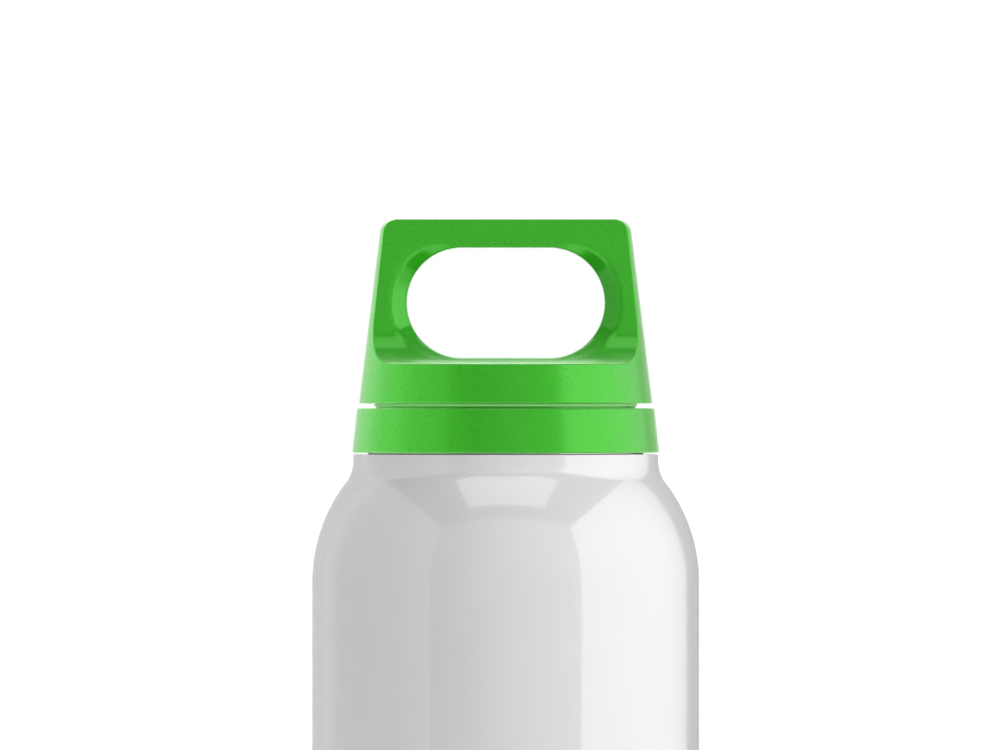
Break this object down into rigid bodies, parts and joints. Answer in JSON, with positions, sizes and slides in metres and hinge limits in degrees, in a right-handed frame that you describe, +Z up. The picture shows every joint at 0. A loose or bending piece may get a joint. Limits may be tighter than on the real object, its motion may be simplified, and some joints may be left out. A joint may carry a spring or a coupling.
{
  "type": "insulated drinking bottle",
  "caption": "White double-walled steel flask with a green screw collar, tea strainer and green screw lid shaped as a carry loop.",
  "frame": {"origin": "centre of the base, on the surface the bottle stands on", "axes": "+Z up along the bottle's axis, X along the lid's flat loop, Y through the finger window"},
  "size_m": [0.072, 0.072, 0.2351],
  "materials": {
    "lacquer": "gloss white lacquer over steel",
    "inner_steel": "electropolished stainless steel",
    "base_steel": "brushed stainless steel",
    "vacuum_steel": "bare pressed stainless steel",
    "foil": "bright wrinkled foil",
    "solder_glass": "dark vitreous solder glass",
    "getter_alloy": "sintered grey alloy",
    "strainer_steel": "polished perforated stainless steel",
    "green_plastic": "satin moulded green polypropylene",
    "spout_plastic": "satin moulded green polypropylene",
    "silicone": "translucent white silicone",
    "stopper_plastic": "fine satin dark grey polypropylene",
    "foam": "closed-cell insulating foam"
  },
  "bodies": {
    "bottle": {"outer_shell": "lacquer", "inner_wall": "inner_steel", "inner_base": "inner_steel", "radiation_foil": "foil", "outer_base": "vacuum_steel", "vacuum_seal_bead": "solder_glass", "getter": "getter_alloy", "getter_clip": "vacuum_steel", "base_cover": "base_steel"},
    "strainer": {"strainer_rim": "strainer_steel", "strainer_basket": "strainer_steel", "strainer_floor": "strainer_steel"},
    "gasket": {"mouth_gasket": "silicone"},
    "collar": {"collar": "green_plastic", "drinking_spout": "spout_plastic"},
    "seal": {"stopper_seal": "silicone"},
    "lid": {"lid_shell": "green_plastic", "stopper": "stopper_plastic", "stopper_foam": "foam", "stopper_end_cap": "stopper_plastic"}
  },
  "joints": [
    {"name": "strainer_lift", "type": "slide", "parent": "bottle", "child": "strainer", "axis": [0, 0, 1], "range_m": [0, 0.06]},
    {"name": "collar_rise", "type": "slide", "parent": "strainer", "child": "gasket", "axis": [0, 0, 1], "range_m": [0, 0.0036]},
    {"name": "collar_turn", "type": "hinge", "parent": "gasket", "child": "collar", "pos_m": [0, 0, 0.196], "axis": [0, 0, 1], "range_deg": [0, 420]},
    {"name": "lid_rise", "type": "slide", "parent": "collar", "child": "seal", "axis": [0, 0, 1], "range_m": [0, 0.0051]},
    {"name": "lid_turn", "type": "hinge", "parent": "seal", "child": "lid", "pos_m": [0, 0, 0.2], "axis": [0, 0, 1], "range_deg": [0, 450]}
  ],
  "couplings": [
    {"joint": "collar_rise", "follows": "collar_turn", "m_per_rad": 0.00047746},
    {"joint": "lid_rise", "follows": "lid_turn", "m_per_rad": 0.00063662}
  ]
}
